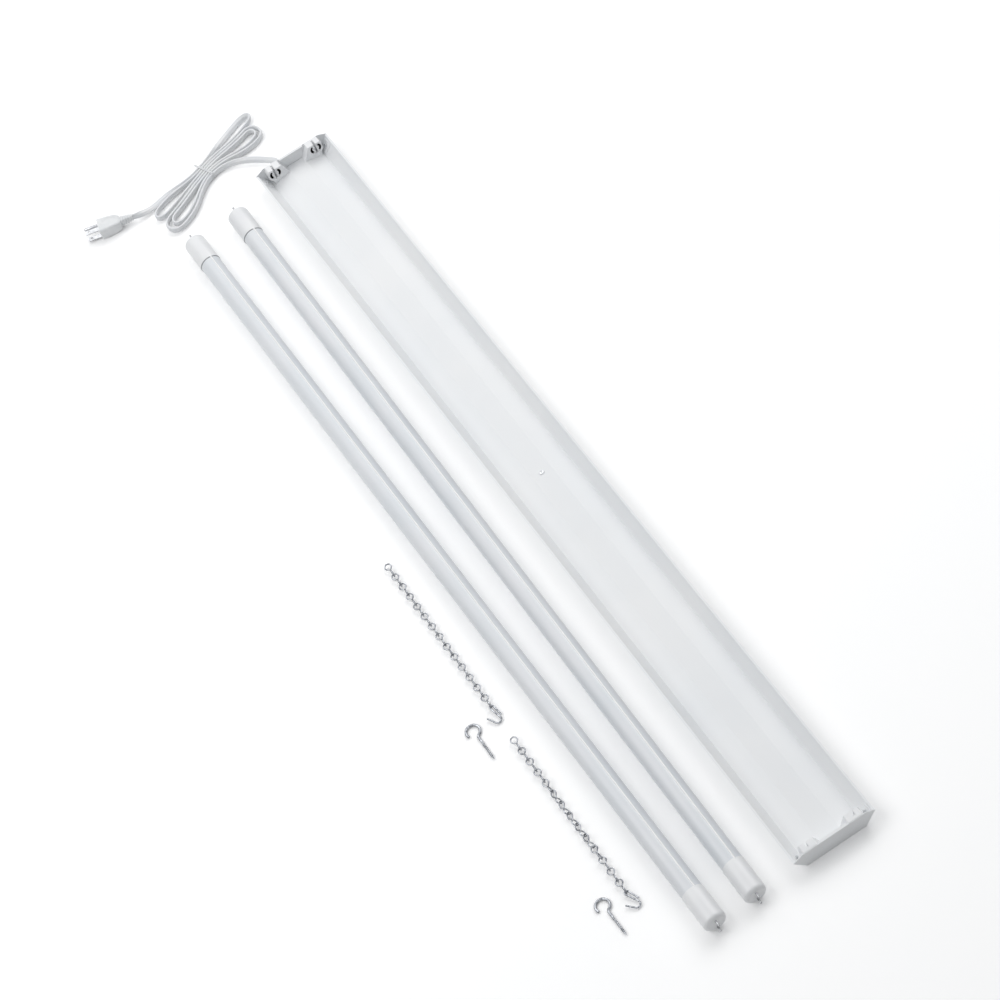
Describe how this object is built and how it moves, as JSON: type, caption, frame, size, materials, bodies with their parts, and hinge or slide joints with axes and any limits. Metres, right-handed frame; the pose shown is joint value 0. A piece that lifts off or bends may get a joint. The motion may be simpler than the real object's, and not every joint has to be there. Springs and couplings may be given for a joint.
{
  "type": "led grow light fixture",
  "caption": "Long shallow white strip light fixture on its back, with slim tube lamps, jack chains, wire and screw hooks, and a tied flat mains cord with plug laid out beside it.",
  "frame": {"origin": "middle of the housing's flat back, which lies on the floor", "axes": "+X along the housing away from the cord, +Z out of its open side"},
  "size_m": [1.3529, 0.3228, 0.028],
  "materials": {
    "white_enamel": "smooth satin enamel",
    "plated_screws": "zinc plated",
    "holder_plastic": "satin",
    "rotor_plastic": "matt white, in shadow beside its hub",
    "diffuser_plastic": "frosted",
    "lamp_aluminium": "satin white coat on aluminium",
    "led_board": "white solder mask",
    "cap_plastic": "satin",
    "nickelled_brass": "nickel plated",
    "zinc_wire": "bright zinc plated",
    "cord_pvc": "soft satin",
    "tie_plastic": "satin",
    "plug_pvc": "satin",
    "blade_brass": "nickel plated"
  },
  "bodies": {
    "housing": {"housing_shell": "white_enamel", "wireway_cover": "white_enamel", "cover_post": "white_enamel", "end_plate_far": "white_enamel", "end_plate_near": "white_enamel", "cover_screw": "plated_screws", "plate_screws": "plated_screws", "lampholder_far_left": "holder_plastic", "lampholder_far_right": "holder_plastic", "lampholder_near_left": "holder_plastic", "lampholder_near_right": "holder_plastic", "cord_lead": "cord_pvc", "cord_hank": "cord_pvc", "cord_tail": "cord_pvc", "cord_bushing": "cord_pvc", "cord_tie": "tie_plastic", "plug_body": "plug_pvc", "plug_blades": "blade_brass", "plug_ground_pin": "blade_brass"},
    "rotor_far_left": {"rotor_far_left": "rotor_plastic"},
    "rotor_far_right": {"rotor_far_right": "rotor_plastic"},
    "rotor_near_left": {"rotor_near_left": "rotor_plastic"},
    "rotor_near_right": {"rotor_near_right": "rotor_plastic"},
    "lamp_1": {"lamp_1_diffuser": "diffuser_plastic", "lamp_1_heat_sink": "lamp_aluminium", "lamp_1_board": "led_board", "lamp_1_cap_far": "cap_plastic", "lamp_1_cap_near": "cap_plastic", "lamp_1_pins": "nickelled_brass"},
    "lamp_2": {"lamp_2_diffuser": "diffuser_plastic", "lamp_2_heat_sink": "lamp_aluminium", "lamp_2_board": "led_board", "lamp_2_cap_far": "cap_plastic", "lamp_2_cap_near": "cap_plastic", "lamp_2_pins": "nickelled_brass"},
    "chain_a_links_1": {"chain_a_links_1": "zinc_wire"},
    "chain_a_links_2": {"chain_a_links_2": "zinc_wire"},
    "chain_a_links_3": {"chain_a_links_3": "zinc_wire"},
    "chain_a_links_4": {"chain_a_links_4": "zinc_wire"},
    "chain_a_links_5": {"chain_a_links_5": "zinc_wire"},
    "chain_a_hook": {"chain_a_hook": "zinc_wire"},
    "chain_b_links_1": {"chain_b_links_1": "zinc_wire"},
    "chain_b_links_2": {"chain_b_links_2": "zinc_wire"},
    "chain_b_links_3": {"chain_b_links_3": "zinc_wire"},
    "chain_b_links_4": {"chain_b_links_4": "zinc_wire"},
    "chain_b_links_5": {"chain_b_links_5": "zinc_wire"},
    "chain_b_hook": {"chain_b_hook": "zinc_wire"},
    "screw_hook_1": {"screw_hook_1": "zinc_wire"},
    "screw_hook_2": {"screw_hook_2": "zinc_wire"}
  },
  "joints": [
    {"name": "rotor_far_left_turn", "type": "hinge", "parent": "housing", "child": "rotor_far_left", "pos_m": [-0.6015, -0.0303, 0.0187], "axis": [1, 0, 0], "range_deg": [0, 90]},
    {"name": "rotor_far_right_turn", "type": "hinge", "parent": "housing", "child": "rotor_far_right", "pos_m": [-0.6015, 0.0303, 0.0187], "axis": [1, 0, 0], "range_deg": [0, 90]},
    {"name": "rotor_near_left_turn", "type": "hinge", "parent": "housing", "child": "rotor_near_left", "pos_m": [0.6015, -0.0303, 0.0187], "axis": [1, 0, 0], "range_deg": [0, 90]},
    {"name": "rotor_near_right_turn", "type": "hinge", "parent": "housing", "child": "rotor_near_right", "pos_m": [0.6015, 0.0303, 0.0187], "axis": [1, 0, 0], "range_deg": [0, 90]},
    {"name": "lamp_1_lift", "type": "slide", "parent": "housing", "child": "lamp_1", "axis": [0, 0, 1], "range_m": [0, 0.12]},
    {"name": "lamp_2_lift", "type": "slide", "parent": "housing", "child": "lamp_2", "axis": [0, 0, 1], "range_m": [0, 0.12]},
    {"name": "chain_a_lift", "type": "slide", "parent": "housing", "child": "chain_a_links_3", "axis": [0, 0, 1], "range_m": [0, 0.06]},
    {"name": "chain_a_swing_2", "type": "hinge", "parent": "chain_a_links_3", "child": "chain_a_links_2", "pos_m": [0.09338, -0.2105, 0.00495], "axis": [0, 0, 1], "range_deg": [-8, 20]},
    {"name": "chain_a_swing_1", "type": "hinge", "parent": "chain_a_links_2", "child": "chain_a_links_1", "pos_m": [0.04192, -0.2105, 0.00495], "axis": [0, 0, 1], "range_deg": [-8, 20]},
    {"name": "chain_a_swing_3", "type": "hinge", "parent": "chain_a_links_3", "child": "chain_a_links_4", "pos_m": [0.14484, -0.2105, 0.00495], "axis": [0, 0, 1], "range_deg": [0, 7]},
    {"name": "chain_a_swing_4", "type": "hinge", "parent": "chain_a_links_4", "child": "chain_a_links_5", "pos_m": [0.19631, -0.2105, 0.00495], "axis": [0, 0, 1], "range_deg": [0, 7]},
    {"name": "chain_a_hook_swing", "type": "hinge", "parent": "chain_a_links_5", "child": "chain_a_hook", "pos_m": [0.23061, -0.2105, 0.00495], "axis": [0, 0, 1], "range_deg": [-8, 12]},
    {"name": "chain_b_lift", "type": "slide", "parent": "housing", "child": "chain_b_links_3", "axis": [0, 0, 1], "range_m": [0, 0.06]},
    {"name": "chain_b_swing_2", "type": "hinge", "parent": "chain_b_links_3", "child": "chain_b_links_2", "pos_m": [0.38428, -0.2123, 0.00495], "axis": [0, -0.6947, 0.7193], "range_deg": [-10, 0]},
    {"name": "chain_b_swing_1", "type": "hinge", "parent": "chain_b_links_2", "child": "chain_b_links_1", "pos_m": [0.33282, -0.2123, 0.00495], "axis": [0, 0, 1], "range_deg": [-10, 0]},
    {"name": "chain_b_swing_3", "type": "hinge", "parent": "chain_b_links_3", "child": "chain_b_links_4", "pos_m": [0.43574, -0.2123, 0.00495], "axis": [0, -0.6947, 0.7193], "range_deg": [0, 7]},
    {"name": "chain_b_swing_4", "type": "hinge", "parent": "chain_b_links_4", "child": "chain_b_links_5", "pos_m": [0.4872, -0.2123, 0.00495], "axis": [0, 0, 1], "range_deg": [0, 7]},
    {"name": "chain_b_hook_swing", "type": "hinge", "parent": "chain_b_links_5", "child": "chain_b_hook", "pos_m": [0.52151, -0.2123, 0.00495], "axis": [0, 0, 1], "range_deg": [-8, 12]},
    {"name": "screw_hook_1_lift", "type": "slide", "parent": "housing", "child": "screw_hook_1", "axis": [0, 0, 1], "range_m": [0, 0.05]},
    {"name": "screw_hook_2_lift", "type": "slide", "parent": "housing", "child": "screw_hook_2", "axis": [0, 0, 1], "range_m": [0, 0.05]}
  ]
}
